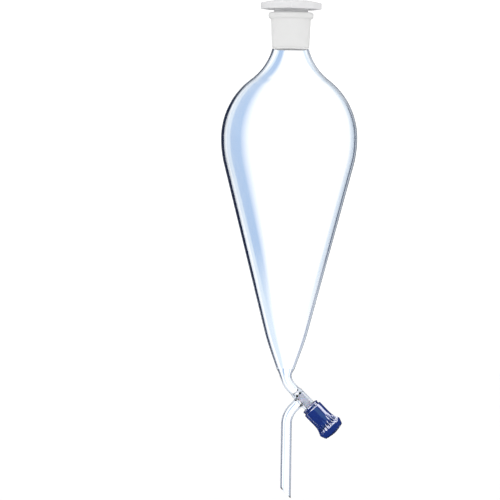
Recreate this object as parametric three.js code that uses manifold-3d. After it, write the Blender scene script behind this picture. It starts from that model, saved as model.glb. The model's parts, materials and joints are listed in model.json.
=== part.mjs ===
// Pear-shaped separatory funnel, 1000 ml, with a 29 mm ground socket, a hollow octagonal stopper and a
// screw-down needle valve set at 45 degrees under the cone.
// Millimetres, +Z up. The origin is on the funnel's axis, in the plane of the 80 mm support ring that
// carries it. The valve points towards +X, and its outlet comes back under the funnel's axis.
import * as THREE from "three";
import { mergeVertices } from "three/addons/utils/BufferGeometryUtils.js";
import Module from "manifold-3d";

const wasm = await Module();
wasm.setup();

// ---- Driving dimensions -------------------------------------------------------------------------

const RING_R = 40; // radius of the cone where the support ring meets it, at z = 0

const SOCKET = {
  rimZ: 184,
  baseZ: 153.8,
  mouthR: 14.6, // large end of the ground taper
  taper: 0.05, // change of radius per millimetre, which is 1 in 10 on the diameter
  topR: 16.7,
  baseR: 15.8,
  beadR: 18.9,
  beadHeight: 5.4,
  beadRound: 1.8,
};

const PEAR = {
  wall: 2.2,
  neckR: 13.8, // tightest radius that the neck's fillet aims at
  filletR: 47.5,
  shoulderR: 61.6,
  bellyR: 57.25,
  bellyZ: 78.4,
  lowerR: 92, // arc from the belly into the cone
  coneSlope: 0.2584, // radius lost per millimetre downwards
  kneeZ: -91.2, // where the cone starts to close faster
  kneeSlope: 0.361,
  throatZ: -115.2,
};

const NECK = { z: -118.2, outerR: 6, wall: 1.7 }; // lower end of the pear, where the valve is sealed on

const VALVE = {
  angle: Math.PI / 4, // from straight down towards +X
  crossZ: -125.8, // where the valve's axis crosses the funnel's axis
  bendOuterR: 4.5,
  bendBoreR: 3,
  seatStart: 13.4, // distances along the valve's axis from that crossing
  seatThroatR: 1.6,
  seatEnd: 16.6,
  endS: 47,
  outerR: 5.1,
  boreR: 3.7,
  armS: 20.8,
};

const THREAD = {
  pitch: 3,
  share: 0.5, // of the pitch that one ridge covers
  height: 0.9,
  barrelFrom: 38,
  barrelTo: 45.6,
  knobFrom: 34,
  knobTo: 47.4,
  fade: 1.2, // length over which a ridge grows at its ends
};

const STEM = {
  x: 1.5,
  tipZ: -224.4,
  bevel: Math.PI / 4,
  outerR: 4.5,
  boreR: 3,
  armOuterR: 4.2,
  armBoreR: 2.7,
  bendR: 20,
};

const SPINDLE = {
  clearance: 0.14, // between its cone and the seat when it is shut
  tipR: 1.9,
  shaftR: 3.4,
  shoulderS: 48.7,
  stubR: 2.1,
  stubEnd: 54.2,
  clipS: 51.8,
};

const O_RING = { centreR: 2.85, sectionR: 0.8, grooveR: 2, grooveWidth: 1.9, at: [31.5, 35.5] };

const CLIP = { innerR: 1.75, outerR: 3.6, width: 1.1, mouth: Math.PI / 5, grooveR: 1.6 };

const KNOB = {
  rimS: 29.3,
  length: 29,
  mouthR: 6,
  boreR: 6.6,
  boreFrom: 2.5,
  webS: 49,
  webThickness: 2.5,
  webHoleR: 2.35,
  pocketR: 6,
  gripR: 8.65,
  flutes: 22,
  fluteFrom: 15.5, // distances from the knob's rim
  fluteTo: 24.2,
};

const CAP = { gap: 0.25, edgeR: 9.45, edge: 0.5, domeR: 5.6, dome: 1.4, topR: 2, rise: 2.1, spigot: 3 };

const STOPPER = {
  gap: 0.3, // between plug and ground socket
  headR: 25.8, // over the corners of the octagon
  headBottomZ: 186.7,
  headSideZ: 192.1,
  headTopZ: 193.6,
  slopeWidth: 6.8,
  headRound: 0.5,
  neckR: 14.4,
  bottomZ: 152.2,
  wall: 2.3,
};

// ---- Materials ----------------------------------------------------------------------------------

const glass = new THREE.MeshStandardMaterial({
  color: 0xe9f1f5, roughness: 0.03, metalness: 0, transparent: true, opacity: 0.35,
});
const frosted = new THREE.MeshStandardMaterial({
  color: 0xe4e5e5, roughness: 0.6, metalness: 0, transparent: true, opacity: 0.8,
});
const polyethylene = new THREE.MeshStandardMaterial({ color: 0xececee, roughness: 0.45, metalness: 0 });
const fluoroplastic = new THREE.MeshStandardMaterial({ color: 0xd6daea, roughness: 0.5, metalness: 0 });
const elastomer = new THREE.MeshStandardMaterial({ color: 0x262424, roughness: 0.6, metalness: 0 });
const bluePlastic = new THREE.MeshStandardMaterial({ color: 0x16348c, roughness: 0.25, metalness: 0 });
const springSteel = new THREE.MeshStandardMaterial({ color: 0xb8bcc2, roughness: 0.35, metalness: 1 });

// ---- Shape helpers ------------------------------------------------------------------------------

const point = (r, z) => new THREE.Vector2(r, z);

// Points of an arc in the (radius, height) plane, angles in radians from the radius axis.
function arc(r, z, radius, from, to, steps) {
  return Array.from({ length: steps + 1 }, (_, i) => {
    const angle = from + ((to - from) * i) / steps;
    return point(r + radius * Math.cos(angle), z + radius * Math.sin(angle));
  });
}

// The same profile moved sideways by distance, to the right of its direction of travel.
function offset(profile, distance) {
  return profile.map((p, i) => {
    const before = profile[Math.max(i - 1, 0)];
    const after = profile[Math.min(i + 1, profile.length - 1)];
    const along = after.clone().sub(before).normalize();
    return point(p.x + along.y * distance, p.y - along.x * distance);
  });
}

// A ring-shaped solid: the profile, closed on itself, turned about Z.
function revolve(profile, segments) {
  const geometry = new THREE.LatheGeometry([...profile, profile[0].clone()], segments);
  return geometry.rotateX(Math.PI / 2);
}

// A solid rod along Z whose radius follows the profile, with flat ends.
function rod(profile, segments) {
  const [first, last] = [profile[0], profile[profile.length - 1]];
  const closed = [point(0, first.y), ...profile, point(0, last.y)];
  return new THREE.LatheGeometry(closed, segments).rotateX(Math.PI / 2);
}

// Moves each vertex of a shape made along Z: radius becomes radius + change(angle, height, radius).
function swell(geometry, change) {
  const position = geometry.getAttribute("position");
  for (let i = 0; i < position.count; i++) {
    const [x, y, z] = [position.getX(i), position.getY(i), position.getZ(i)];
    const r = Math.hypot(x, y);
    const scale = (r + change(Math.atan2(y, x), z, r)) / r;
    if (r > 0) position.setXYZ(i, x * scale, y * scale, z);
  }
  return geometry;
}

// Bends a shape made along Z so that it follows a centreline in the XZ plane.
function follow(geometry, centreline) {
  const position = geometry.getAttribute("position");
  for (let i = 0; i < position.count; i++) {
    const { at, side, ahead, beyond } = centreline(position.getZ(i));
    const placed = at
      .clone()
      .addScaledVector(side, position.getX(i))
      .addScaledVector(new THREE.Vector3(0, 1, 0), position.getY(i))
      .addScaledVector(ahead, beyond);
    position.setXYZ(i, placed.x, placed.y, placed.z);
  }
  return geometry;
}

// A centreline that runs straight, turns by an angle and runs straight again. start is its first point,
// heading its first direction from straight down towards +X, and turn is positive towards +X.
function bentLine(start, heading, straight, radius, turn) {
  const direction = (angle) => new THREE.Vector3(Math.sin(angle), 0, -Math.cos(angle));
  const across = (angle) => new THREE.Vector3(-Math.cos(angle), 0, -Math.sin(angle));
  const bendStart = start.clone().addScaledVector(direction(heading), straight);
  const sign = Math.sign(turn);
  const pivot = bendStart.clone().addScaledVector(across(heading), -sign * radius);
  const bendLength = radius * Math.abs(turn);
  return (s) => {
    const bent = THREE.MathUtils.clamp(s - straight, 0, bendLength);
    const angle = heading + (sign * bent) / radius;
    const at = pivot.clone().addScaledVector(across(angle), sign * radius);
    return { at, side: across(angle), ahead: direction(angle), beyond: s - straight - bent };
  };
}

function toSolid(geometry) {
  const bare = new THREE.BufferGeometry();
  bare.setAttribute("position", geometry.getAttribute("position"));
  bare.setIndex(geometry.index);
  const merged = mergeVertices(bare, 1e-4);
  const mesh = new wasm.Mesh({
    numProp: 3,
    vertProperties: merged.getAttribute("position").array,
    triVerts: new Uint32Array(merged.index.array),
  });
  return new wasm.Manifold(mesh);
}

function toGeometry(solid) {
  const { vertProperties, triVerts } = solid.getMesh();
  const geometry = new THREE.BufferGeometry();
  geometry.setAttribute("position", new THREE.BufferAttribute(vertProperties, 3));
  geometry.setIndex(new THREE.BufferAttribute(triVerts, 1));
  geometry.computeVertexNormals();
  return geometry;
}

// Height of a right-hand thread's ridge, 0 to 1, at an angle and a distance along the valve's axis.
function ridge(angle, s, phase, from, to) {
  const turns = s / THREAD.pitch - angle / (2 * Math.PI) + phase;
  const away = Math.abs(turns - Math.round(turns)) / THREAD.share;
  const ends = Math.min(s - from, to - s) / THREAD.fade;
  if (away >= 0.5 || ends <= 0) return 0;
  return Math.cos(away * Math.PI) ** 2 * Math.min(ends, 1);
}

const evenly = (from, to, steps) =>
  Array.from({ length: steps + 1 }, (_, i) => from + ((to - from) * i) / steps);

const add = (parent, name, geometry, material) => {
  const mesh = new THREE.Mesh(geometry, material);
  mesh.name = name;
  parent.add(mesh);
};

// ---- Glass --------------------------------------------------------------------------------------

const ROUND = 36; // segments round the pear, the socket and the stopper
const FINE = 24; // segments round the valve's parts

// Outer surface of the pear, from the socket down to the valve's neck.
function pearProfile() {
  const shoulderCentreR = PEAR.bellyR - PEAR.shoulderR;
  const reach = PEAR.shoulderR + PEAR.filletR;
  const filletCentreR = PEAR.neckR + PEAR.filletR;
  const meet = Math.acos((filletCentreR - shoulderCentreR) / reach);
  const filletCentreZ = PEAR.bellyZ + reach * Math.sin(meet);
  const filletTop = Math.PI + Math.asin((filletCentreZ - SOCKET.baseZ) / PEAR.filletR);
  const coneAngle = Math.atan(PEAR.coneSlope);
  const kneeR = RING_R + PEAR.coneSlope * PEAR.kneeZ;
  const throatR = kneeR - PEAR.kneeSlope * (PEAR.kneeZ - PEAR.throatZ);
  return [
    ...arc(filletCentreR, filletCentreZ, PEAR.filletR, filletTop, Math.PI + meet, 6),
    ...arc(shoulderCentreR, PEAR.bellyZ, PEAR.shoulderR, meet, 0, 8).slice(1),
    ...arc(PEAR.bellyR - PEAR.lowerR, PEAR.bellyZ, PEAR.lowerR, 0, -coneAngle, 3).slice(1),
    point(kneeR, PEAR.kneeZ),
    point(throatR, PEAR.throatZ),
    point(NECK.outerR, NECK.z),
  ];
}

function pearBody() {
  const outer = pearProfile();
  const inner = offset(outer, PEAR.wall);
  inner[0] = point(outer[0].x - PEAR.wall, outer[0].y);
  inner[inner.length - 1] = point(NECK.outerR - NECK.wall, NECK.z);
  return revolve([...outer.reverse(), ...inner], ROUND);
}

function groundSocket() {
  const { rimZ, baseZ, mouthR, taper, topR, baseR, beadR, beadHeight, beadRound } = SOCKET;
  const cornerR = beadR - beadRound;
  return revolve(
    [
      point(mouthR - taper * (rimZ - baseZ), baseZ),
      point(baseR, baseZ),
      point(topR, rimZ - beadHeight),
      ...arc(cornerR, rimZ - beadHeight + beadRound, beadRound, -Math.PI / 2, 0, 3),
      ...arc(cornerR, rimZ - beadRound, beadRound, 0, Math.PI / 2, 3),
      point(mouthR, rimZ),
    ],
    ROUND,
  );
}

const crossing = new THREE.Vector3(0, 0, VALVE.crossZ);
const bendTangent = NECK.z - VALVE.crossZ;
const neckBendR = bendTangent / Math.tan(VALVE.angle / 2);
const neckBendLength = neckBendR * VALVE.angle;
// Distance along the bent centreline from the neck's face of a point s along the valve's axis.
const fromNeck = (s) => neckBendLength + s - bendTangent;

// Barrel of the valve with its inlet bend, seat, side arm and external thread.
function valveBarrel() {
  const inlet = bentLine(new THREE.Vector3(0, 0, NECK.z), 0, 0, neckBendR, VALVE.angle);
  // Rings round the inlet bend, which narrows to its own radius over the bend's first half.
  const narrowing = (t) => Math.max(0, 1 - 2 * t) ** 2;
  const bend = (startR, endR) =>
    evenly(0, 1, 6).map((t) => point(endR + (startR - endR) * narrowing(t), t * neckBendLength));
  const outerProfile = [
    ...bend(NECK.outerR, VALVE.bendOuterR),
    point(VALVE.bendOuterR, fromNeck(VALVE.seatStart - 1)),
    point(VALVE.outerR, fromNeck(VALVE.seatStart + 0.4)),
    ...evenly(THREAD.barrelFrom, THREAD.barrelTo, 12).map((s) => point(VALVE.outerR, fromNeck(s))),
    point(VALVE.outerR, fromNeck(VALVE.endS)),
  ];
  const threaded = (angle, s) =>
    THREAD.height * ridge(angle, s - fromNeck(0), 0, THREAD.barrelFrom, THREAD.barrelTo);
  const barrel = toSolid(follow(swell(rod(outerProfile, FINE), threaded), inlet));

  const inletBoreR = NECK.outerR - NECK.wall;
  const seatCone = VALVE.boreR - VALVE.seatThroatR;
  const boreProfile = [
    point(inletBoreR, -1),
    ...bend(inletBoreR, VALVE.bendBoreR),
    point(VALVE.bendBoreR, fromNeck(VALVE.seatStart - 1)),
    point(VALVE.seatThroatR, fromNeck(VALVE.seatStart)),
    point(VALVE.seatThroatR, fromNeck(VALVE.seatEnd - seatCone)),
    point(VALVE.boreR, fromNeck(VALVE.seatEnd)),
    point(VALVE.boreR, fromNeck(VALVE.endS + 1)),
  ];
  const bore = toSolid(follow(rod(boreProfile, FINE), inlet));

  const away = new THREE.Vector3(Math.sin(VALVE.angle), 0, -Math.cos(VALVE.angle));
  const armStart = crossing.clone().addScaledVector(away, VALVE.armS);
  const armTurn = Math.PI / 2 - VALVE.angle;
  const armStraight = (armStart.x - STEM.x) / Math.sin(armTurn) - STEM.bendR * Math.tan(armTurn / 2);
  const armLength = armStraight + STEM.bendR * armTurn;
  const arm = bentLine(armStart, -armTurn, armStraight, STEM.bendR, armTurn);
  const tube = (rootR, endR, past) =>
    rod(
      [
        point(rootR, 0),
        ...evenly(0, 1, 5).map((t) =>
          point(THREE.MathUtils.lerp(rootR, endR, t), THREE.MathUtils.lerp(armStraight, armLength, t)),
        ),
        ...(past ? [point(endR, armLength + past)] : []),
      ],
      FINE,
    );
  const armOuter = toSolid(follow(tube(STEM.armOuterR, STEM.outerR, 0), arm));
  const armBore = toSolid(follow(tube(STEM.armBoreR, STEM.boreR, 1), arm));
  return toGeometry(barrel.add(armOuter).subtract(bore).subtract(armBore));
}

// z of the face where the side arm ends and the stem begins.
function stemTopZ() {
  const armTurn = Math.PI / 2 - VALVE.angle;
  const startX = VALVE.armS * Math.sin(VALVE.angle);
  const startZ = VALVE.crossZ - VALVE.armS * Math.cos(VALVE.angle);
  const cornerZ = startZ - (startX - STEM.x) / Math.tan(armTurn);
  return cornerZ - STEM.bendR * Math.tan(armTurn / 2);
}

// Straight outlet stem with a bevelled tip, lowest towards +X.
function dripStem() {
  const topZ = stemTopZ();
  const profile = [
    point(STEM.boreR, STEM.tipZ),
    point(STEM.outerR, STEM.tipZ),
    point(STEM.outerR, topZ),
    point(STEM.boreR, topZ),
  ];
  const tube = toSolid(revolve(profile, FINE));
  const side = 6 * STEM.outerR;
  const belowBevel = new THREE.BoxGeometry(side, side, side)
    .translate(0, 0, -side / 2)
    .rotateY(STEM.bevel)
    .translate(STEM.outerR, 0, STEM.tipZ);
  return toGeometry(tube.subtract(toSolid(belowBevel))).translate(STEM.x, 0, 0);
}

// ---- Stopper ------------------------------------------------------------------------------------

// Hollow tapered plug, open below, under a flat octagonal head with a sloping edge.
function stopper() {
  const { gap, headR, headBottomZ, headSideZ, headTopZ, slopeWidth, headRound } = STOPPER;
  const { neckR, bottomZ, wall } = STOPPER;
  const { rimZ, mouthR, taper } = SOCKET;
  const plugR = (z) => mouthR - gap - taper * (rimZ - z);
  const plugProfile = [
    point(plugR(bottomZ) - 0.6, bottomZ),
    point(plugR(bottomZ + 0.6), bottomZ + 0.6),
    point(plugR(rimZ), rimZ),
    point(neckR, headBottomZ + 1),
  ];
  const headProfile = [
    point(headR - headRound, headBottomZ),
    point(headR, headBottomZ + headRound),
    point(headR, headSideZ),
    point(headR - slopeWidth, headTopZ),
  ];
  const hollowProfile = [
    point(plugR(bottomZ) - wall, bottomZ - 1),
    point(plugR(rimZ) - wall, rimZ - 1),
  ];
  const plug = toSolid(rod(plugProfile, ROUND));
  const head = toSolid(rod(headProfile, 8));
  return toGeometry(plug.add(head).subtract(toSolid(rod(hollowProfile, ROUND))));
}

// ---- Valve insert: made along Z, with z the distance along the valve's axis -----------------------

function valveSpindle() {
  const { clearance, tipR, shaftR, shoulderS, stubR, stubEnd, clipS } = SPINDLE;
  const coneStart = VALVE.seatEnd - VALVE.boreR; // where the seat's cone would reach the axis
  const cone = (r) => point(r, coneStart + r + clearance * Math.SQRT2);
  const groove = (centre, width, outsideR, bottomR) => [
    point(outsideR, centre - width / 2),
    point(bottomR, centre - width / 2),
    point(bottomR, centre + width / 2),
    point(outsideR, centre + width / 2),
  ];
  const profile = [
    cone(tipR),
    cone(shaftR),
    ...O_RING.at.flatMap((s) => groove(s, O_RING.grooveWidth, shaftR, O_RING.grooveR)),
    point(shaftR, shoulderS),
    point(stubR, shoulderS),
    ...groove(clipS + CLIP.width / 2, CLIP.width + 0.2, stubR, CLIP.grooveR),
    point(stubR, stubEnd),
  ];
  return rod(profile, FINE);
}

function oRing(s) {
  return revolve(arc(O_RING.centreR, s, O_RING.sectionR, 0, 2 * Math.PI, 8).slice(0, -1), FINE);
}

// Open ring that snaps into the groove of the spindle's stub and holds it in the knob.
function spindleClip() {
  const end = 2 * Math.PI - CLIP.mouth;
  const outline = new THREE.Shape();
  outline.absarc(0, 0, CLIP.outerR, CLIP.mouth, end, false);
  outline.absarc(0, 0, CLIP.innerR, end, CLIP.mouth, true);
  outline.closePath();
  const sides = { depth: CLIP.width, bevelEnabled: false, curveSegments: 9 };
  return new THREE.ExtrudeGeometry(outline, sides).translate(0, 0, SPINDLE.clipS);
}

// Screw knob: a thin lip and a groove at its rim, a smooth grip, then flutes that run out into a flare.
function valveKnob() {
  const { rimS, length, gripR, flutes, fluteFrom, fluteTo } = KNOB;
  const end = rimS + length;
  const fromRim = (r, distance) => point(r, rimS + distance);
  const outside = [
    fromRim(6.9, 0),
    fromRim(7.8, 0.9),
    fromRim(7.8, 1.5),
    fromRim(7.4, 1.7),
    fromRim(7.4, 2.3),
    fromRim(8.05, 2.8),
    fromRim(gripR, 3.7),
    fromRim(gripR, fluteFrom),
    fromRim(8.85, 18),
    fromRim(9.75, 21),
    fromRim(10.7, 23.3),
    fromRim(11.15, fluteTo),
    fromRim(11.15, 24.8),
    fromRim(9.65, length),
  ];
  const inside = [
    point(KNOB.pocketR, end),
    point(KNOB.pocketR, KNOB.webS + KNOB.webThickness),
    point(KNOB.webHoleR, KNOB.webS + KNOB.webThickness),
    point(KNOB.webHoleR, KNOB.webS),
    point(KNOB.boreR, KNOB.webS),
    ...evenly(THREAD.knobTo, THREAD.knobFrom, 18).map((s) => point(KNOB.boreR, s)),
    fromRim(KNOB.boreR, KNOB.boreFrom),
    fromRim(KNOB.mouthR, KNOB.boreFrom - 0.6),
    fromRim(KNOB.mouthR, 0),
  ];
  const shape = (angle, s, r) => {
    if (r >= gripR) {
      const fluted = s > rimS + fluteFrom && s < rimS + fluteTo;
      const valley = 0.5 - 0.5 * Math.cos(angle * flutes);
      return fluted ? -valley * (r - gripR) : 0;
    }
    const threaded = Math.abs(r - KNOB.boreR) < 1e-4;
    return threaded ? -THREAD.height * ridge(angle, s, 0.5, THREAD.knobFrom, THREAD.knobTo) : 0;
  };
  return swell(revolve([...outside, ...inside], 2 * flutes), shape);
}

// Domed cap that closes the knob's outer end, on a spigot.
function knobEndCap() {
  const end = KNOB.rimS + KNOB.length;
  const spigotR = KNOB.pocketR - CAP.gap;
  const profile = [
    point(spigotR, end - CAP.spigot),
    point(spigotR, end + CAP.gap),
    point(CAP.edgeR, end + CAP.gap),
    point(CAP.edgeR, end + CAP.edge),
    point(CAP.domeR, end + CAP.dome),
    point(CAP.topR, end + CAP.rise),
  ];
  return rod(profile, FINE);
}

// ---- Assembly -----------------------------------------------------------------------------------

const funnel = new THREE.Group();
add(funnel, "ground_socket", groundSocket(), frosted);
add(funnel, "pear_body", pearBody(), glass);
add(funnel, "valve_barrel", valveBarrel(), glass);
add(funnel, "drip_stem", dripStem(), glass);
add(funnel, "stopper", stopper(), polyethylene);

// In this group Z is the valve's axis, away from the funnel, and X points at the side arm.
const valve = new THREE.Group();
valve.position.copy(crossing);
valve.rotation.y = Math.PI - VALVE.angle;
add(valve, "valve_spindle", valveSpindle(), fluoroplastic);
O_RING.at.forEach((s, i) => add(valve, `spindle_o_ring_${i + 1}`, oRing(s), elastomer));
add(valve, "spindle_clip", spindleClip(), springSteel);
add(valve, "valve_knob", valveKnob(), bluePlastic);
add(valve, "knob_end_cap", knobEndCap(), bluePlastic);
funnel.add(valve);

export default funnel;
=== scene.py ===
"""Looks of the separatory funnel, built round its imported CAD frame. Metres, +Z up, valve towards +X."""

import json
import math

import bmesh
import bpy
from mathutils import Matrix, Vector


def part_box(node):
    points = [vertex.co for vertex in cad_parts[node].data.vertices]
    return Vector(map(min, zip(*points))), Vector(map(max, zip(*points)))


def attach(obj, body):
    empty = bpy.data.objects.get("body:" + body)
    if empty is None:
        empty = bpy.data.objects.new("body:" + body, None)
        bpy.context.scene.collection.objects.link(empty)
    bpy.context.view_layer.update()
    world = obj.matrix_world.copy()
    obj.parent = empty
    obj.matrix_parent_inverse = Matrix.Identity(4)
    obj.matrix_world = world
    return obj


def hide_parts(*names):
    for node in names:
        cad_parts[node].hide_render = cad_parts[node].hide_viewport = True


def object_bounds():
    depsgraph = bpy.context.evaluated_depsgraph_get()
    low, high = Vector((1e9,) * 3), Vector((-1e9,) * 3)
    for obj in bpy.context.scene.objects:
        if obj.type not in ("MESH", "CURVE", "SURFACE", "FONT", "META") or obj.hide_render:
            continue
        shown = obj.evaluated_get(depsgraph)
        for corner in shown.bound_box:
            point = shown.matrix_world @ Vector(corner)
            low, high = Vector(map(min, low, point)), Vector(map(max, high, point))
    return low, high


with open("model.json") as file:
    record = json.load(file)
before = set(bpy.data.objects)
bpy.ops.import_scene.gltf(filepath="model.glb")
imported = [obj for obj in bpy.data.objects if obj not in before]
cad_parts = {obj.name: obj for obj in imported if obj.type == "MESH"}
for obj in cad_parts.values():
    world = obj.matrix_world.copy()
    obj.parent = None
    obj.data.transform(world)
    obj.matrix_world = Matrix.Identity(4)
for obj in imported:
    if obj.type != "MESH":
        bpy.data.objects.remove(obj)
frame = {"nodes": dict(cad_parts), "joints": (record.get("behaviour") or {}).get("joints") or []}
cad_low, cad_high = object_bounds()

MM = 0.001
AROUND = 192  # segments round the glass
FINE = 72  # segments round the small parts

# ---- Places taken from the frame ------------------------------------------------------------------

joints = {j["name"]: j for j in frame["joints"]}
CROSSING = Vector(joints["knob_turn"]["pos_m"])
VALVE_DIR = Vector(joints["knob_turn"]["axis"]).normalized()
TILT = math.atan2(VALVE_DIR.x, -VALVE_DIR.z)  # of the valve's axis from straight down
ACROSS = Vector((0, 1, 0))
VALVE_UP = VALVE_DIR.cross(ACROSS)  # square to the valve's axis, up and to the right
socket_low, socket_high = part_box("ground_socket")
pear_low, pear_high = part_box("pear_body")
stem_low, stem_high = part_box("drip_stem")
stopper_low, stopper_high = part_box("stopper")
RIM_Z = socket_high.z
SOCKET_BASE_Z = socket_low.z
NECK_Z = pear_low.z
STEM_X = (stem_low.x + stem_high.x) / 2
STEM_R = (stem_high.y - stem_low.y) / 2
# Distances along the valve's axis from the crossing.
BARREL_END = 47 * MM
KNOB_START, KNOB_END = 29.3 * MM, 58.3 * MM
CAP_START, CAP_END = 55.3 * MM, 60.4 * MM
SPINDLE_TIP, SPINDLE_END = 15 * MM, 54.2 * MM


# ---- Outlines -------------------------------------------------------------------------------------


def arc(s, r, radius, start, end, steps):
    """Points (s, r) on an arc, angles in degrees from the s axis towards the r axis."""
    angles = [math.radians(start + (end - start) * i / steps) for i in range(steps + 1)]
    return [(s + radius * math.cos(a), r + radius * math.sin(a)) for a in angles]


def rounded(points, radius, steps=4):
    """The outline with its inner corners rounded, by at most a third of the shorter side."""
    out = [points[0]]
    for before, here, after in zip(points, points[1:], points[2:]):
        here_v = Vector(here)
        to_before, to_after = Vector(before) - here_v, Vector(after) - here_v
        cut = min(radius, to_before.length / 3, to_after.length / 3)
        start = here_v + to_before.normalized() * cut
        end = here_v + to_after.normalized() * cut
        for i in range(steps + 1):
            t = i / steps
            point = start * (1 - t) ** 2 + here_v * 2 * t * (1 - t) + end * t**2
            out.append((point.x, point.y))
    out.append(points[-1])
    return out


def dense(points, step):
    """The outline with extra points, so that none of its sides is longer than step."""
    out = [points[0]]
    for a, b in zip(points, points[1:]):
        count = max(1, math.ceil(math.dist(a, b) / step))
        out += [tuple(a[k] + (b[k] - a[k]) * i / count for k in (0, 1)) for i in range(1, count + 1)]
    return out


def smooth_through(points, step):
    """A smooth outline through the points: cubic pieces whose tangents come from their neighbours."""

    def slope(i):
        before, here, after = points[max(i - 1, 0)], points[i], points[min(i + 1, len(points) - 1)]
        d0, d1 = math.dist(before, here), math.dist(here, after)
        if d0 == 0 or d1 == 0:
            return [(after[k] - before[k]) / (d0 + d1) for k in (0, 1)]
        v0 = [(here[k] - before[k]) / d0 for k in (0, 1)]
        v1 = [(after[k] - here[k]) / d1 for k in (0, 1)]
        return [(v0[k] * d1 + v1[k] * d0) / (d0 + d1) for k in (0, 1)]

    out = [points[0]]
    for i, (a, b) in enumerate(zip(points, points[1:])):
        length = math.dist(a, b)
        ma, mb = slope(i), slope(i + 1)
        count = max(1, math.ceil(length / step))
        for j in range(1, count + 1):
            t = j / count
            h = (
                2 * t**3 - 3 * t**2 + 1,
                (t**3 - 2 * t**2 + t) * length,
                3 * t**2 - 2 * t**3,
                (t**3 - t**2) * length,
            )
            out.append(tuple(h[0] * a[k] + h[1] * ma[k] + h[2] * b[k] + h[3] * mb[k] for k in (0, 1)))
    return out


# ---- Centrelines: each gives (point, side, ahead) at a distance s ------------------------------------


def heading(angle):
    return Vector((math.sin(angle), 0, -math.cos(angle)))


def sideways(angle):
    return Vector((-math.cos(angle), 0, -math.sin(angle)))


def bent_line(start, angle, straight, radius, turn):
    """Straight from start at an angle from straight down, then round a bend by turn, then straight on."""
    sign = math.copysign(1, turn)
    bend_start = start + heading(angle) * straight
    pivot = bend_start - sideways(angle) * sign * radius

    def at(s):
        bent = min(max(s - straight, 0), radius * abs(turn))
        now = angle + sign * bent / radius
        point = pivot + sideways(now) * sign * radius
        return point + heading(now) * (s - straight - bent), sideways(now), heading(now)

    return at


BEND_TANGENT = NECK_Z - CROSSING.z
BEND_R = BEND_TANGENT / math.tan(TILT / 2)
BEND_LENGTH = BEND_R * TILT
DOWN_TO_NECK = RIM_Z - NECK_Z
# From the socket's rim down through the neck and the bend into the valve.
MAIN_LINE = bent_line(Vector((0, 0, RIM_Z)), 0, DOWN_TO_NECK, BEND_R, TILT)
VALVE_LINE = bent_line(CROSSING, TILT, 0, 1, 0.0)
UPRIGHT = bent_line(Vector((0, 0, 0)), math.pi, 0, 1, 0.0)  # s is height


def on_main(s):
    """Distance along MAIN_LINE of a point s beyond the crossing on the valve's axis."""
    return DOWN_TO_NECK + BEND_LENGTH + s - BEND_TANGENT


BARREL_END_S = on_main(BARREL_END)


# ---- Meshes ---------------------------------------------------------------------------------------


def new_object(name, verts, faces, material=None):
    mesh = bpy.data.meshes.new(name)
    mesh.from_pydata(verts, [], faces)
    mesh.validate()
    obj = bpy.data.objects.new(name, mesh)
    bpy.context.scene.collection.objects.link(obj)
    if material:
        mesh.materials.append(material)
    return obj


def turned(name, outline, line, segments, material=None, swell=None, loop=False):
    """The outline, points (s, r), carried round a centreline. loop joins its end to its start, otherwise
    both ends are closed flat. swell(angle, s, r) adds to a radius."""
    verts, faces = [], []
    for s, r in outline:
        point, side, _ = line(s)
        for i in range(segments):
            angle = 2 * math.pi * i / segments
            grown = r + (swell(angle, s, r) if swell else 0)
            verts.append(point + (side * math.cos(angle) + ACROSS * math.sin(angle)) * grown)
    rings = len(outline)
    for k in range(rings if loop else rings - 1):
        low, high = k * segments, (k + 1) % rings * segments
        for i in range(segments):
            j = (i + 1) % segments
            faces.append((low + i, low + j, high + j, high + i))
    if not loop:
        faces.append(tuple(reversed(range(segments))))
        faces.append(tuple((rings - 1) * segments + i for i in range(segments)))
    obj = new_object(name, verts, faces, material)
    fix_normals(obj)
    return obj


def fix_normals(obj):
    bm = bmesh.new()
    bm.from_mesh(obj.data)
    bmesh.ops.recalc_face_normals(bm, faces=bm.faces)
    bm.to_mesh(obj.data)
    bm.free()


def smooth(obj, sharp_degrees=35):
    obj.data.polygons.foreach_set("use_smooth", [True] * len(obj.data.polygons))
    obj.data.set_sharp_from_angle(angle=math.radians(sharp_degrees))


def combine(obj, other, operation):
    """Joins other to obj, or cuts it out, and removes other."""
    modifier = obj.modifiers.new("combine", "BOOLEAN")
    modifier.operation = operation
    modifier.solver = "EXACT"
    modifier.object = other
    graph = bpy.context.evaluated_depsgraph_get()
    made = bpy.data.meshes.new_from_object(obj.evaluated_get(graph))
    obj.modifiers.remove(modifier)
    old = obj.data
    obj.data = made
    bpy.data.meshes.remove(old)
    bpy.data.objects.remove(other)


# ---- Materials ------------------------------------------------------------------------------------

GLASS_IOR = 1.473
NOISE_LOW, NOISE_HIGH = 0.3, 0.7  # levels of the noise between which a surface varies


def principled(name, **values):
    """A node material and its shader, with the constant values on the shader's own sockets."""
    material = bpy.data.materials.new(name)
    material.use_nodes = True
    shader = material.node_tree.nodes["Principled BSDF"]
    for key, value in values.items():
        shader.inputs[key.replace("_", " ")].default_value = value
    return material, shader


def add_node(material, kind, **settings):
    node = material.node_tree.nodes.new(kind)
    for key, value in settings.items():
        if key in node.inputs:
            node.inputs[key].default_value = value
        else:
            setattr(node, key, value)
    return node


def link(material, source, target):
    material.node_tree.links.new(source, target)


def noise(material, scale, detail=3.0):
    """Noise in object space, in features per metre."""
    where = add_node(material, "ShaderNodeTexCoord")
    texture = add_node(material, "ShaderNodeTexNoise", Scale=scale, Detail=detail)
    link(material, where.outputs["Object"], texture.inputs["Vector"])
    return texture.outputs["Fac"]


def ramp(material, source, stops):
    node = add_node(material, "ShaderNodeValToRGB")
    elements = node.color_ramp.elements
    while len(elements) < len(stops):
        elements.new(1.0)
    for element, (position, colour) in zip(elements, stops):
        element.position = position
        element.color = (*colour, 1.0)
    link(material, source, node.inputs["Fac"])
    return node.outputs["Color"]


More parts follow.
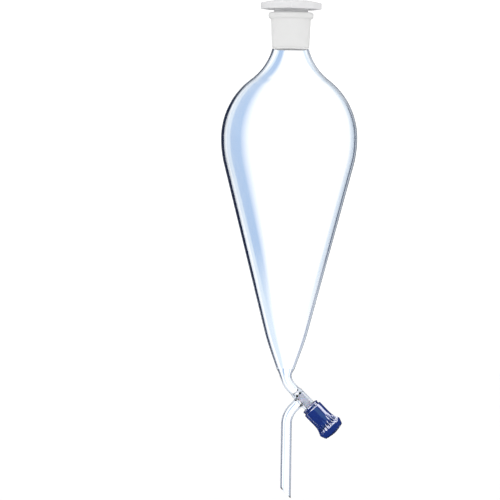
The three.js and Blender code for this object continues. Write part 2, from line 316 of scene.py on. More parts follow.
def vary(material, shader, socket, source, low, high):
    """Lets noise carry one of the shader's sockets between two colours."""
    colour = ramp(material, source, [(NOISE_LOW, low), (NOISE_HIGH, high)])
    link(material, colour, shader.inputs[socket])


def bump(material, shader, height, strength, distance):
    node = add_node(material, "ShaderNodeBump", Strength=strength, Distance=distance)
    link(material, height, node.inputs["Height"])
    link(material, node.outputs["Normal"], shader.inputs["Normal"])


def grey(value):
    return (value, value, value)


def clear_glass():
    material, shader = principled("clear_glass", Roughness=0.0, IOR=GLASS_IOR, Transmission_Weight=1.0)
    # Painted edge shade: the base colour darkens towards grazing angles, standing in for the dark
    # surroundings seen at the glass's edges.
    facing = add_node(material, "ShaderNodeLayerWeight", Blend=0.5).outputs["Facing"]
    painted_edge_shade = ramp(
        material,
        facing,
        [
            (0.0, (1.0, 1.0, 1.0)),
            (0.6, (0.98, 0.99, 1.0)),
            (0.85, (0.9, 0.94, 0.98)),
            (1.0, (0.6, 0.68, 0.8)),
        ],
    )
    link(material, painted_edge_shade, shader.inputs["Base Color"])
    bump(material, shader, noise(material, 18, 1.0), 0.03, 0.002)
    return material


def ground_glass():
    material, shader = principled("ground_glass", IOR=GLASS_IOR, Transmission_Weight=0.26)
    grain = noise(material, 2600, 4.0)
    cloud = noise(material, 60, 3.0)
    vary(material, shader, "Base Color", cloud, (0.95, 0.95, 0.945), (0.985, 0.985, 0.98))
    vary(material, shader, "Roughness", cloud, grey(0.42), grey(0.5))
    bump(material, shader, grain, 0.4, 0.0001)
    return material


def polyethylene():
    material, shader = principled("polyethylene", IOR=1.51, Subsurface_Weight=0.35, Subsurface_Scale=0.004)
    shader.inputs["Subsurface Radius"].default_value = (1.0, 0.98, 0.95)
    cloud = noise(material, 90, 3.0)
    fine = noise(material, 900, 4.0)
    vary(material, shader, "Base Color", cloud, (0.69, 0.69, 0.70), (0.74, 0.74, 0.75))
    vary(material, shader, "Roughness", fine, grey(0.36), grey(0.46))
    bump(material, shader, fine, 0.08, 0.0002)
    return material


def fluoroplastic():
    material, shader = principled("ptfe", IOR=1.36, Subsurface_Weight=0.15, Subsurface_Scale=0.002)
    cloud = noise(material, 160, 3.0)
    fine = noise(material, 1500, 3.0)
    vary(material, shader, "Base Color", cloud, (0.66, 0.7, 0.88), (0.74, 0.78, 0.93))
    vary(material, shader, "Roughness", fine, grey(0.4), grey(0.5))
    bump(material, shader, fine, 0.1, 0.0001)
    return material


def elastomer():
    material, shader = principled("elastomer", IOR=1.5)
    fine = noise(material, 1200, 4.0)
    vary(material, shader, "Base Color", fine, grey(0.018), grey(0.03))
    vary(material, shader, "Roughness", fine, grey(0.5), grey(0.65))
    bump(material, shader, fine, 0.15, 0.0001)
    return material


def blue_plastic():
    """Glossy blue moulding, with painted shade in its grooves and flutes: ambient occlusion darkens its base
    colour.
    """
    material, shader = principled("blue_plastic", IOR=1.49, Specular_IOR_Level=0.4)
    shader.inputs["Coat Weight"].default_value = 1.0
    shader.inputs["Coat IOR"].default_value = 1.9
    shader.inputs["Coat Roughness"].default_value = 0.09
    cloud = noise(material, 120, 3.0)
    fine = noise(material, 1400, 4.0)
    colour = ramp(material, cloud, [(NOISE_LOW, (0.003, 0.023, 0.19)), (NOISE_HIGH, (0.005, 0.031, 0.23))])
    # Painted shade: ambient occlusion darkens the base colour in the grooves and flutes, where shade falls.
    painted_crevice_shade = add_node(material, "ShaderNodeAmbientOcclusion", Distance=3 * MM, samples=8)
    link(material, colour, painted_crevice_shade.inputs["Color"])
    shade = ramp(material, painted_crevice_shade.outputs["AO"], [(0.62, grey(0.02)), (0.82, grey(1.0))])
    painted_shade_colour = add_node(material, "ShaderNodeMixRGB", blend_type="MULTIPLY", Fac=1.0)
    link(material, colour, painted_shade_colour.inputs["Color1"])
    link(material, shade, painted_shade_colour.inputs["Color2"])
    link(material, painted_shade_colour.outputs["Color"], shader.inputs["Base Color"])
    vary(material, shader, "Roughness", fine, grey(0.2), grey(0.28))
    bump(material, shader, fine, 0.05, 0.0001)
    return material


def spring_steel():
    material, shader = principled("spring_steel", Metallic=1.0)
    fine = noise(material, 2000, 4.0)
    vary(material, shader, "Base Color", fine, grey(0.5), grey(0.62))
    vary(material, shader, "Roughness", fine, grey(0.22), grey(0.34))
    bump(material, shader, fine, 0.1, 0.0001)
    return material


# ---- Threads, shared by the barrel and the knob -----------------------------------------------------

THREAD_PITCH = 3 * MM
THREAD_HEIGHT = 0.9 * MM
BARREL_THREAD = (38 * MM, 45.6 * MM)
KNOB_THREAD = (34 * MM, 47.4 * MM)


def ridge(angle, s, phase, span):
    """Height, 0 to 1, of a right-hand ridge that covers half of the pitch and fades out at both ends."""
    turns = s / THREAD_PITCH - angle / (2 * math.pi) + phase
    away = abs(turns - round(turns)) * 2
    ends = min(s - span[0], span[1] - s) / (0.4 * THREAD_PITCH)
    if away >= 0.5 or ends <= 0:
        return 0.0
    return math.cos(away * math.pi) ** 2 * min(ends, 1)


# ---- Glass envelope -----------------------------------------------------------------------------------

MOUTH_R = 14.6 * MM
TAPER = 0.05
BEAD_HEIGHT = 5.4 * MM
BEAD_ROUND = 1.8 * MM
SOCKET_TOP_R = 16.7 * MM
SOCKET_BASE_R = 15.8 * MM
FOOT_ROUND = 1.6 * MM
LEDGE = 1.5 * MM  # length over which the ground taper runs into the neck, inside
BEND_OUTER_R = 4.5 * MM
BEND_BORE_R = 3 * MM
SEAT_START = 13.4 * MM
SEAT_THROAT_R = 1.6 * MM
SEAT_END = 16.6 * MM
BARREL_R = 5.1 * MM
BARREL_BORE_R = 3.7 * MM
NECK_R = 6 * MM
NECK_BORE_R = 4.3 * MM
NECK_FILLET_TOP_R = 13.8 * MM
FILLET_R = 47.5 * MM
SHOULDER_R = 61.6 * MM
BELLY_Z = 78.4 * MM
LOWER_R = 92 * MM
CONE_SLOPE = 0.2584
RING_SEAT_R = 40 * MM
KNEE_Z = -91.2 * MM
KNEE_SLOPE = 0.361
THROAT_Z = -115.2 * MM
PEAR_WALL = 2.2 * MM
SOCKET_DEPTH = RIM_Z - SOCKET_BASE_Z
ARM_S = 20.8 * MM
ARM_R = 4.2 * MM
ARM_BORE_R = 2.7 * MM
ARM_BEND_R = 20 * MM
STEM_BORE_R = 3 * MM
FROST_BELOW = 0.9 * MM  # how far the outside's frost runs down over the top of the neck
ARM_ROOT = (4.0, 4.8, 5.4, 6.0, 6.8, 7.8)  # mm from the valve's axis where the arm's flared root is drawn
ARM_FLARE = 0.4 * MM
FLARE_DECAY = 1.1 * MM
BEVEL_REACH = 2.4  # where the stem's bevel starts before its tip, in stem radii


def pear_outer():
    """The pear's outer outline, as (distance below the rim, radius): fillet, shoulder, belly and cone."""
    belly_r = pear_high.x
    centre_r = NECK_FILLET_TOP_R + FILLET_R
    reach = SHOULDER_R + FILLET_R
    meet = math.acos((centre_r - belly_r + SHOULDER_R) / reach)
    belly = RIM_Z - BELLY_Z
    fillet_at = belly - reach * math.sin(meet)
    top = math.asin((fillet_at - SOCKET_DEPTH) / FILLET_R)
    fillet = arc(fillet_at, centre_r, FILLET_R, math.degrees(top) - 90, math.degrees(meet) - 90, 48)
    shoulder = arc(belly, belly_r - SHOULDER_R, SHOULDER_R, math.degrees(meet) + 90, 90, 48)
    cone_angle = math.degrees(math.atan(CONE_SLOPE))
    lower = arc(belly, belly_r - LOWER_R, LOWER_R, 90, 90 - cone_angle, 16)
    knee_r = RING_SEAT_R + CONE_SLOPE * KNEE_Z
    throat_r = knee_r - KNEE_SLOPE * (KNEE_Z - THROAT_Z)
    end = rounded(
        [
            lower[-1],
            (RIM_Z - KNEE_Z, knee_r),
            (RIM_Z - THROAT_Z, throat_r),
            (RIM_Z - NECK_Z, NECK_R),
        ],
        8 * MM,
        8,
    )
    return [*fillet, *shoulder[1:], *lower[1:], *dense(end[:2], 3 * MM)[1:], *end[2:]]


def pear_inner():
    """The outer outline moved in by the wall, down to the bore of the neck's tube."""
    outer = pear_outer()
    inner = []
    for i, (s, r) in enumerate(outer):
        before, after = outer[max(i - 1, 0)], outer[min(i + 1, len(outer) - 1)]
        ds, dr = after[0] - before[0], after[1] - before[1]
        length = math.hypot(ds, dr)
        inner.append((s + dr / length * PEAR_WALL, r - ds / length * PEAR_WALL))
    inner[0] = (outer[0][0], outer[0][1] - PEAR_WALL)
    inner[-1] = (outer[-1][0], NECK_BORE_R)
    return inner


def narrowing(start_r, end_r):
    """Outline round the inlet bend, which narrows over the bend's first half."""
    steps = 16
    fall = [max(0, 1 - 2 * i / steps) ** 2 for i in range(steps + 1)]
    return [
        (DOWN_TO_NECK + BEND_LENGTH * i / steps, end_r + (start_r - end_r) * f) for i, f in enumerate(fall)
    ]


def arm_line():
    """Centreline of the side arm and the stem, and where its parts begin along it."""
    start = CROSSING + VALVE_DIR * ARM_S
    turn = math.pi / 2 - TILT
    straight = (start.x - STEM_X) / math.sin(turn) - ARM_BEND_R * math.tan(turn / 2)
    bend_end = straight + ARM_BEND_R * turn
    line = bent_line(start, -turn, straight, ARM_BEND_R, turn)
    tip = bend_end + (line(bend_end)[0].z - stem_low.z)
    return line, straight, bend_end, tip


def glass_outer():
    corner_r = socket_high.x - BEAD_ROUND
    socket = [
        *arc(BEAD_ROUND, corner_r, BEAD_ROUND, 180, 90, 8),
        *arc(BEAD_HEIGHT - BEAD_ROUND, corner_r, BEAD_ROUND, 90, 0, 8),
        (BEAD_HEIGHT + 0.25 * MM, SOCKET_TOP_R + 0.2 * MM),
        (BEAD_HEIGHT + 0.9 * MM, SOCKET_TOP_R - 0.02 * MM),
        *arc(SOCKET_DEPTH - FOOT_ROUND, SOCKET_BASE_R - FOOT_ROUND, FOOT_ROUND, 90, 10, 6),
    ]
    valve = [
        (on_main(SEAT_START - 1.6 * MM), BEND_OUTER_R),
        (on_main(SEAT_START - 0.6 * MM), BEND_OUTER_R + 0.18 * MM),
        (on_main(SEAT_START + 0.2 * MM), BARREL_R - 0.12 * MM),
        (on_main(SEAT_START + 1.0 * MM), BARREL_R),
        (on_main(BARREL_THREAD[0]), BARREL_R),
        *dense([(on_main(s), BARREL_R) for s in BARREL_THREAD], 0.2 * MM),
        (BARREL_END_S - 0.35 * MM, BARREL_R),
        (BARREL_END_S - 0.1 * MM, BARREL_R - 0.1 * MM),
        (BARREL_END_S, BARREL_R - 0.35 * MM),
    ]
    threaded = lambda angle, s, r: THREAD_HEIGHT * ridge(angle, s - on_main(0), 0, BARREL_THREAD)
    outline = [*socket, *pear_outer(), *narrowing(NECK_R, BEND_OUTER_R)[1:], *valve]
    return turned("funnel_glass", outline, MAIN_LINE, AROUND, swell=threaded)


def glass_cavity():
    bore = lambda s: MOUTH_R - TAPER * s
    valve = [
        (on_main(SEAT_START - 2.2 * MM), BEND_BORE_R),
        (on_main(SEAT_START - 1.4 * MM), BEND_BORE_R - 0.15 * MM),
        (on_main(SEAT_START - 0.7 * MM), BEND_BORE_R - 0.55 * MM),
        (on_main(SEAT_START - 0.1 * MM), SEAT_THROAT_R + 0.25 * MM),
        (on_main(SEAT_START + 0.4 * MM), SEAT_THROAT_R),
        (on_main(SEAT_END - (BARREL_BORE_R - SEAT_THROAT_R)), SEAT_THROAT_R),
        (on_main(SEAT_END), BARREL_BORE_R),
        (BARREL_END_S - 0.3 * MM, BARREL_BORE_R),
        (BARREL_END_S + 0.3 * MM, BARREL_BORE_R + 0.5 * MM),
    ]
    outline = [
        (-0.3 * MM, MOUTH_R + 0.8 * MM),
        (0.15 * MM, MOUTH_R + 0.15 * MM),
        (0.5 * MM, bore(0.5 * MM)),
        (SOCKET_DEPTH - LEDGE, bore(SOCKET_DEPTH - LEDGE)),
        *pear_inner(),
        *narrowing(NECK_BORE_R, BEND_BORE_R)[1:],
        *valve,
    ]
    return turned("cavity", outline, MAIN_LINE, AROUND)


def arm_solid(name, root_r, end_r, flare, line, straight, bend_end, end, bevel_r=None):
    """A tube's solid along the side arm and stem. flare widens its root, bevel_r cuts its end at
    45 degrees."""
    steps = 14
    bend = [
        (straight + (bend_end - straight) * i / steps, root_r + (end_r - root_r) * i / steps)
        for i in range(steps + 1)
    ]
    root = [
        (s * MM, root_r + flare * math.exp(-((s * MM - BARREL_R) / FLARE_DECAY))) for s in ARM_ROOT
    ]
    outline = [(0, root[0][1]), *root, *[p for p in bend if p[0] > root[-1][0]]]
    if bevel_r:
        outline.append((end - BEVEL_REACH * bevel_r, end_r))
    outline.append((end, end_r))
    obj = turned(name, outline, line, FINE)
    if bevel_r:
        for v in obj.data.vertices[-FINE:]:
            v.co.z += STEM_X + bevel_r - v.co.x
    return obj


def funnel_glass(clear, ground):
    """One fused envelope: socket, pear, bend, valve barrel, side arm and stem."""
    line, straight, bend_end, tip = arm_line()
    glass = glass_outer()
    arm = arm_solid("arm", ARM_R, STEM_R, ARM_FLARE, line, straight, bend_end, tip, STEM_R)
    combine(glass, arm, "UNION")
    cavity = glass_cavity()
    bore = arm_solid("bore", ARM_BORE_R, STEM_BORE_R, 0, line, straight, bend_end, tip + 2 * MM)
    combine(cavity, bore, "UNION")
    combine(glass, cavity, "DIFFERENCE")
    glass.data.materials.clear()
    glass.data.materials.append(clear)
    glass.data.materials.append(ground)
    for face in glass.data.polygons:
        outside = face.center.xy.length > NECK_FILLET_TOP_R - PEAR_WALL / 2
        frost_end = SOCKET_BASE_Z - FROST_BELOW if outside else SOCKET_BASE_Z
        face.material_index = 1 if face.center.z > frost_end else 0
    smooth(glass, 32)
    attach(glass, "glass")
    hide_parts("ground_socket", "pear_body", "valve_barrel", "drip_stem")


# ---- Stopper --------------------------------------------------------------------------------------------

HEAD_BOTTOM_Z = RIM_Z + 2.7 * MM
HEAD_SIDE_Z = RIM_Z + 8.1 * MM
HEAD_SLOPE = 6.8 * MM
PLUG_GAP = 0.3 * MM
PLUG_WALL = 2.3 * MM
STOPPER_NECK_R = 14.4 * MM
HEAD_EDGE = 0.45 * MM
AXIS_R = 0.05 * MM  # of the tiny flat that ends an outline on the axis


def stopper(material):
    """Hollow tapered plug under an octagonal head with softened edges."""
    plug_r = lambda z: MOUTH_R - PLUG_GAP - TAPER * (RIM_Z - z)
    bottom = stopper_low.z
    outside = rounded(
        [
            (bottom, plug_r(bottom) - PLUG_WALL),
            (bottom, plug_r(bottom) - 0.1 * MM),
            (RIM_Z, plug_r(RIM_Z)),
            (HEAD_BOTTOM_Z + 2 * MM, STOPPER_NECK_R),
        ],
        0.6 * MM,
    )
    inside = rounded(
        [
            (HEAD_BOTTOM_Z + 2 * MM, AXIS_R),
            (RIM_Z - 1 * MM, AXIS_R),
            (RIM_Z - 1 * MM, plug_r(RIM_Z) - PLUG_WALL),
            (bottom, plug_r(bottom) - PLUG_WALL),
        ],
        0.8 * MM,
    )
    plug = turned("octagonal_stopper", [*outside, *inside[:-1]], UPRIGHT, AROUND, material, loop=True)
    head_r = stopper_high.x
    head = turned(
        "head",
        [
            (HEAD_BOTTOM_Z, head_r),
            (HEAD_SIDE_Z, head_r),
            (stopper_high.z, head_r - HEAD_SLOPE),
        ],
        UPRIGHT,
        8,
    )
    edges = head.modifiers.new("soft_edges", "BEVEL")
    edges.width = HEAD_EDGE
    edges.segments = 4
    edges.limit_method = "ANGLE"
    edges.angle_limit = math.radians(5)
    graph = bpy.context.evaluated_depsgraph_get()
    beveled = bpy.data.meshes.new_from_object(head.evaluated_get(graph))
    head.modifiers.clear()
    head.data = beveled
    combine(plug, head, "UNION")
    plug.data.materials.clear()
    plug.data.materials.append(material)
    smooth(plug, 28)
    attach(plug, "stopper")
    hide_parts("stopper")


# ---- Valve insert ---------------------------------------------------------------------------------------

SHAFT_R = 3.4 * MM
TIP_R = 1.9 * MM
SHOULDER_S = 48.7 * MM
STUB_R = 2.1 * MM
CLIP_S = 51.8 * MM
CLIP_WIDTH = 1.1 * MM
CLIP_GROOVE_R = 1.6 * MM
O_RING_R = 2.85 * MM
RING_SECTION_R = 0.8 * MM
RING_GROOVE_R = 2 * MM
RING_GROOVE_WIDTH = 1.9 * MM
RINGS = {"spindle_o_ring_1": 31.5 * MM, "spindle_o_ring_2": 35.5 * MM}


def groove(centre, width, outside_r, bottom_r):
    return [
        (centre - width / 2, outside_r),
        (centre - width / 2, bottom_r),
        (centre + width / 2, bottom_r),
        (centre + width / 2, outside_r),
    ]


def valve_spindle(material):
    outline = [
        (SPINDLE_TIP, AXIS_R),
        (SPINDLE_TIP, TIP_R),
        (SPINDLE_TIP + SHAFT_R - TIP_R, SHAFT_R),
    ]
    for place in RINGS.values():
        outline += groove(place, RING_GROOVE_WIDTH, SHAFT_R, RING_GROOVE_R)
    outline += [(SHOULDER_S, SHAFT_R), (SHOULDER_S, STUB_R)]
    outline += groove(CLIP_S + CLIP_WIDTH / 2, CLIP_WIDTH + 0.2 * MM, STUB_R, CLIP_GROOVE_R)
    outline += [(SPINDLE_END, STUB_R), (SPINDLE_END, AXIS_R)]
    obj = turned("ptfe_spindle", rounded(outline, 0.15 * MM), VALVE_LINE, FINE, material)
    smooth(obj)
    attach(obj, "spindle")
    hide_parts("valve_spindle")


def o_ring(node, place, material):
    section = arc(place, O_RING_R, RING_SECTION_R, 0, 345, 23)
    obj = turned("o_ring_" + node[-1], section, VALVE_LINE, FINE, material, loop=True)
    smooth(obj, 80)
    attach(obj, "spindle")
    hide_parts(node)


FLUTES = 22
GRIP_R = 8.65 * MM
FLUTE_FROM, FLUTE_TO = 14.5 * MM, 24.3 * MM
FLUTE_RUN_OUT = 4.2 * MM
FLUTE_DEPTH = 0.12 * MM  # below the grip's surface
FLUTE_WIDTH = 0.8  # power of the flutes' wave: below 1 widens the valleys
FLARE_R = 11.15 * MM
KNOB_MOUTH_R = 6 * MM
KNOB_BORE_R = 6.6 * MM
WEB_S, WEB_END = 49 * MM, 51.5 * MM
WEB_HOLE_R = 2.35 * MM
POCKET_R = 6 * MM
CAP_EDGE_R = 9.45 * MM
CAP_GAP = 0.25 * MM  # round the spigot, in the seam under the cap, and up the cap's straight edge
DOME_STEPS = 20
DOME_POWER = 1.6


def knob_shape(angle, s, r):
    """Flutes that run out into the flare, and the thread inside."""
    k = s - KNOB_START
    if r > GRIP_R - 0.01 * MM and FLUTE_FROM < k < FLUTE_TO:
        valley = (0.5 - 0.5 * math.cos(angle * FLUTES)) ** FLUTE_WIDTH
        end_wall = min(1, (FLUTE_TO - k) / FLUTE_RUN_OUT)
        return -valley * (r - GRIP_R + FLUTE_DEPTH) * math.sin(end_wall * math.pi / 2)
    if abs(r - KNOB_BORE_R) < 1e-7:
        return -THREAD_HEIGHT * ridge(angle, s, 0.5, KNOB_THREAD)
    return 0.0


def valve_knob(material):
    rim = KNOB_START
    lip = rounded(
        [
            (rim, KNOB_MOUTH_R),
            (rim, 6.9 * MM),
            (rim + 0.9 * MM, 7.8 * MM),
            (rim + 1.4 * MM, 7.8 * MM),
            (rim + 1.6 * MM, 7.3 * MM),
            (rim + 2.8 * MM, 7.3 * MM),
            (rim + 3.1 * MM, 8.2 * MM),
            (rim + 3.8 * MM, GRIP_R),
            (rim + 9 * MM, GRIP_R),
        ],
        0.3 * MM,
    )
    flare = smooth_through(
        [
            (rim + 9 * MM, GRIP_R),
            (rim + 12 * MM, GRIP_R),
            (rim + 15.5 * MM, GRIP_R + 0.03 * MM),
            (rim + 18 * MM, 8.87 * MM),
            (rim + 21 * MM, 9.75 * MM),
            (rim + 23.3 * MM, 10.75 * MM),
        ],
        0.25 * MM,
    )
    shoulder = rounded(
        [
            flare[-1],
            (rim + 24.3 * MM, FLARE_R),
            (rim + 24.9 * MM, FLARE_R),
            (KNOB_END, 9.65 * MM),
            (KNOB_END, POCKET_R),
        ],
        0.35 * MM,
    )
    inside = [
        (WEB_END, POCKET_R),
        (WEB_END, WEB_HOLE_R),
        (WEB_S, WEB_HOLE_R),
        (WEB_S, KNOB_BORE_R),
        *dense([(s, KNOB_BORE_R) for s in reversed(KNOB_THREAD)], 0.25 * MM),
        (rim + 2.5 * MM, KNOB_BORE_R),
        (rim + 1.9 * MM, KNOB_MOUTH_R),
    ]
    outline = [*lip, *flare[1:], *dense(shoulder[1:], 0.3 * MM), *inside]
    obj = turned("screw_knob", outline, VALVE_LINE, FLUTES * 12, material, knob_shape, loop=True)
    smooth(obj, 40)
    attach(obj, "knob")
    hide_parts("valve_knob")
    return obj


def knob_cap(material):
    """Domed cap on a spigot, with a fine seam round it."""
    spigot_r = POCKET_R - CAP_GAP
    seam = KNOB_END + CAP_GAP
    dome_from = seam + CAP_GAP
    dome_height = CAP_END - dome_from
    dome = [
        (dome_from + dome_height * (1 - (i / DOME_STEPS) ** DOME_POWER), CAP_EDGE_R * i / DOME_STEPS)
        for i in range(DOME_STEPS, 0, -1)
    ]
    outline = [(CAP_START, AXIS_R), (CAP_START, spigot_r), (seam, spigot_r), (seam, CAP_EDGE_R), *dome]
    obj = turned("knob_cap", rounded(outline, 0.12 * MM), VALVE_LINE, 2 * FINE, material)
    smooth(obj, 40)
    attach(obj, "knob")
    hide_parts("knob_end_cap")
    return obj


# ---- Studio -----------------------------------------------------------------------------------------------

FLOOR_DROP = 12 * MM
FLOOR_R = 2.6
FLOOR_SIDES = 96


def floor():
    material, shader = principled("floor", Roughness=0.9)
    vary(material, shader, "Base Color", noise(material, 3, 2.0), grey(0.9), grey(0.92))
    z = cad_low.z - FLOOR_DROP
    angles = [2 * math.pi * i / FLOOR_SIDES for i in range(FLOOR_SIDES)]
    verts = [(FLOOR_R * math.cos(a), FLOOR_R * math.sin(a), z) for a in angles]
    ground = new_object("floor", verts, [tuple(range(FLOOR_SIDES))], material)
    ground.visible_transmission = False
    ground.visible_glossy = False


ROOM_LIGHT = 1.2
GLASS_LIGHT = 1.3  # of what is seen through clear glass
MIRRORED = (0.03, 0.035, 0.05)  # the dark room that polished surfaces reflect
WHITE = (1.0, 1.0, 1.0)
NAVY = (0.01, 0.02, 0.06)
STEEL = (0.1, 0.13, 0.2)
LILAC_GREY = (0.55, 0.58, 0.66)
PALE_BLUE = (0.6, 0.7, 0.8)
SKY_BLUE = (0.3, 0.44, 0.66)
# Cards behind the funnel, by degrees from straight ahead. The first two are seen across the hollow inside,
# by level and upward rays and by rays that run downwards.
HOLLOW_UPPER = [
    (-10, WHITE),
    (-8, PALE_BLUE),
    (-6, PALE_BLUE),
    (-5, SKY_BLUE),
    (-2.5, SKY_BLUE),
    (-1, WHITE),
    (7, WHITE),
    (10, PALE_BLUE),
    (16, PALE_BLUE),
    (20, WHITE),
]
HOLLOW_LOWER = [(-13, WHITE), (-10, PALE_BLUE), (-4, PALE_BLUE), (-1.5, WHITE)]
# The same for what is seen only through the thickness of a wall, which draws the outlines.
WALL_UPPER = [
    (-38, LILAC_GREY),
    (-34, NAVY),
    (-10, NAVY),
    (-7, WHITE),
    (22, WHITE),
    (25, STEEL),
    (29, STEEL),
    (34, LILAC_GREY),
]
WALL_LOWER = [
    (-38, LILAC_GREY),
    (-34, NAVY),
    (-13, NAVY),
    (-10, WHITE),
    (29, WHITE),
    (34, LILAC_GREY),
]
CARD_SPAN = 45  # degrees to each side that the lists may reach
# Heights in degrees over which the upper cards turn into the lower ones, and all of them fade out.
CARD_SPLIT = (-0.4, -1.8)
CARD_TOP = (18, 24)
CARD_BOTTOM = (-5, -8)
# These heights start from a line that drops by this much for each degree aside, as rays bent by the cone do.
CARD_LEAN = 0.25
ONE_WALL = 2.5  # a ray through one wall has crossed two surfaces, and across the hollow it crosses four
WALL_TINT = (0.6, 0.65, 0.72)


def studio_world():
    """White studio, with cards behind the funnel that only clear glass shows, which draw its outlines."""
    world = bpy.data.worlds.new("studio")
    bpy.context.scene.world = world
    world.use_nodes = True
    nodes, links = world.node_tree.nodes, world.node_tree.links
    nodes.clear()

    def plug(value, socket):
        if isinstance(value, bpy.types.NodeSocket):
            links.new(value, socket)
        else:
            socket.default_value = value

    def math_node(operation, *values):
        node = nodes.new("ShaderNodeMath")
        node.operation = operation
        for value, socket in zip(values, node.inputs):
            plug(value, socket)
        return node.outputs[0]

    def fade(value, start, end):
        node = nodes.new("ShaderNodeMapRange")
        node.interpolation_type = "SMOOTHSTEP"
        for value, socket in zip((value, start, end, 0.0, 1.0), node.inputs):
            plug(value, socket)
        return node.outputs["Result"]

    def colours(position, stops):
        node = nodes.new("ShaderNodeValToRGB")
        elements = node.color_ramp.elements
        while len(elements) < len(stops):
            elements.new(1.0)
        for element, (place, colour) in zip(elements, stops):
            element.position = (place + CARD_SPAN) / (2 * CARD_SPAN)
            element.color = (*colour, 1.0)
        scaled = math_node("DIVIDE", math_node("ADD", position, CARD_SPAN), 2 * CARD_SPAN)
        links.new(scaled, node.inputs["Fac"])
        return node.outputs["Color"]

    def mix(factor, first, second):
        node = nodes.new("ShaderNodeMixRGB")
        for value, socket in zip((factor, first, second), node.inputs):
            plug(value, socket)
        return node.outputs[0]

    def multiply(factor, first, second):
        product = mix(factor, first, second)
        product.node.blend_type = "MULTIPLY"
        return product

    def background(strength, colour):
        node = nodes.new("ShaderNodeBackground")
        plug(colour, node.inputs["Color"])
        node.inputs["Strength"].default_value = strength
        return node.outputs[0]

    def choose(factor, first, second):
        node = nodes.new("ShaderNodeMixShader")
        for value, socket in zip((factor, first, second), node.inputs):
            links.new(value, socket)
        return node.outputs[0]

    where = nodes.new("ShaderNodeTexCoord")
    split = nodes.new("ShaderNodeSeparateXYZ")
    links.new(where.outputs["Generated"], split.inputs[0])
    degrees = 180 / math.pi
    aside = math_node("MULTIPLY", math_node("ARCTAN2", split.outputs["X"], split.outputs["Y"]), degrees)
    elevation = math_node("MULTIPLY", math_node("ARCSINE", split.outputs["Z"]), degrees)
    width = math_node("ABSOLUTE", aside)
    climb = math_node("ADD", elevation, math_node("MULTIPLY", width, CARD_LEAN))

    def cards(upper_stops, lower_stops):
        upper = colours(aside, upper_stops)
        lower = colours(aside, lower_stops)
        stripes = mix(fade(climb, *CARD_SPLIT), upper, lower)
        for ends in (CARD_TOP, CARD_BOTTOM):
            stripes = mix(fade(climb, *ends), stripes, (*WHITE, 1.0))
        return stripes

    soft = background(ROOM_LIGHT, (*WHITE, 1.0))
    rays = nodes.new("ShaderNodeLightPath")
    edge_on = math_node("LESS_THAN", rays.outputs["Transmission Depth"], ONE_WALL)
    wall = multiply(1.0, cards(WALL_UPPER, WALL_LOWER), (*WALL_TINT, 1.0))
    seen_through = background(GLASS_LIGHT, mix(edge_on, cards(HOLLOW_UPPER, HOLLOW_LOWER), wall))
    mirrored = background(1.0, (*MIRRORED, 1.0))
    direct = math_node("LESS_THAN", rays.outputs["Diffuse Depth"], 0.5)
    glossy = math_node("MULTIPLY", rays.outputs["Is Glossy Ray"], direct)
    transmitted = math_node("MULTIPLY", rays.outputs["Is Transmission Ray"], direct)
    transmitted = math_node("MULTIPLY", transmitted, rays.outputs["Is Singular Ray"])
    shader = choose(glossy, soft, mirrored)
    shader = choose(transmitted, shader, seen_through)
    shader = choose(rays.outputs["Is Camera Ray"], shader, soft)
    output = nodes.new("ShaderNodeOutputWorld")
    links.new(shader, output.inputs["Surface"])


def softbox(name, receivers, direction, upright, width, height, radiance, colour=WHITE):
    """A lit panel a metre from the knob's rim, which shows only in the receivers' gloss."""
    data = bpy.data.lights.new(name, "AREA")
    data.shape = "RECTANGLE"
    data.size, data.size_y = width, height
    data.energy = radiance * math.pi * width * height
    data.color = colour
    panel = bpy.data.objects.new(name, data)
    bpy.context.scene.collection.objects.link(panel)
    back = Vector(direction).normalized()
    up = (Vector(upright) - back * Vector(upright).dot(back)).normalized()
    turn = Matrix((up.cross(back), up, back)).transposed()
    panel.matrix_world = Matrix.Translation(CROSSING + VALVE_DIR * KNOB_START + back) @ turn.to_4x4()
    panel.visible_diffuse = False
    panel.visible_transmission = False
    panel.visible_camera = False
    panel.light_linking.receiver_collection = receivers


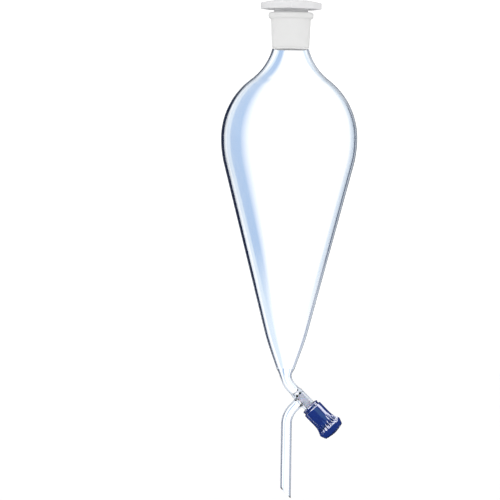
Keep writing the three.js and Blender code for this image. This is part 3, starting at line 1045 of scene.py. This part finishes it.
def camera():
    """Level, far off and long, with the object right of centre and leaning by the view's small roll."""
    distance = 3.0
    elevation = math.radians(0.8)
    roll = 0.0155
    picture = 0.42  # metres across the picture at the funnel's axis
    rim_right, rim_up = 0.0822 * picture, 0.475 * picture  # of the rim's centre from the picture's centre
    data = bpy.data.cameras.new("camera")
    data.sensor_width = 36
    data.lens = data.sensor_width * distance / picture
    data.clip_end = 50
    cam = bpy.data.objects.new("camera", data)
    bpy.context.scene.collection.objects.link(cam)
    ahead = Vector((0, math.cos(elevation), -math.sin(elevation)))
    level_up = Vector((0, math.sin(elevation), math.cos(elevation)))
    right = Vector((1, 0, 0)) * math.cos(roll) + level_up * math.sin(roll)
    up = level_up * math.cos(roll) - Vector((1, 0, 0)) * math.sin(roll)
    centre = Vector((0, 0, RIM_Z)) - right * rim_right - up * rim_up
    place = centre - ahead * distance
    turn = Matrix((right, up, -ahead)).transposed()
    cam.matrix_world = Matrix.Translation(place) @ turn.to_4x4()
    bpy.context.scene.camera = cam


# ---- Scene ------------------------------------------------------------------------------------------------

bpy.context.scene.view_settings.view_transform = "Standard"
camera()
floor()
studio_world()
funnel_glass(clear_glass(), ground_glass())
stopper(polyethylene())
valve_spindle(fluoroplastic())
rubber = elastomer()
for ring, ring_place in RINGS.items():
    o_ring(ring, ring_place, rubber)
blue = blue_plastic()
knob_pieces = bpy.data.collections.new("knob_pieces")
knob_pieces.objects.link(valve_knob(blue))
knob_pieces.objects.link(knob_cap(blue))
above = VALVE_UP - VALVE_DIR * 0.2 - ACROSS * 0.07
softbox("box_stripe", knob_pieces, above, VALVE_DIR, width=0.6, height=1.4, radiance=5.5)
up_axis = VALVE_UP * 0.35 - VALVE_DIR - ACROSS * 0.2
softbox("box_front", knob_pieces, up_axis, VALVE_UP, width=1.5, height=1.8, radiance=6)
beside = VALVE_UP * 0.5 - ACROSS * 0.85
cyan = (0.4, 0.85, 1.0)
softbox("box_blue", knob_pieces, beside, VALVE_DIR, width=0.8, height=1.0, radiance=0.45, colour=cyan)
clip = frame["nodes"]["spindle_clip"]
clip.data.materials.clear()
clip.data.materials.append(spring_steel())
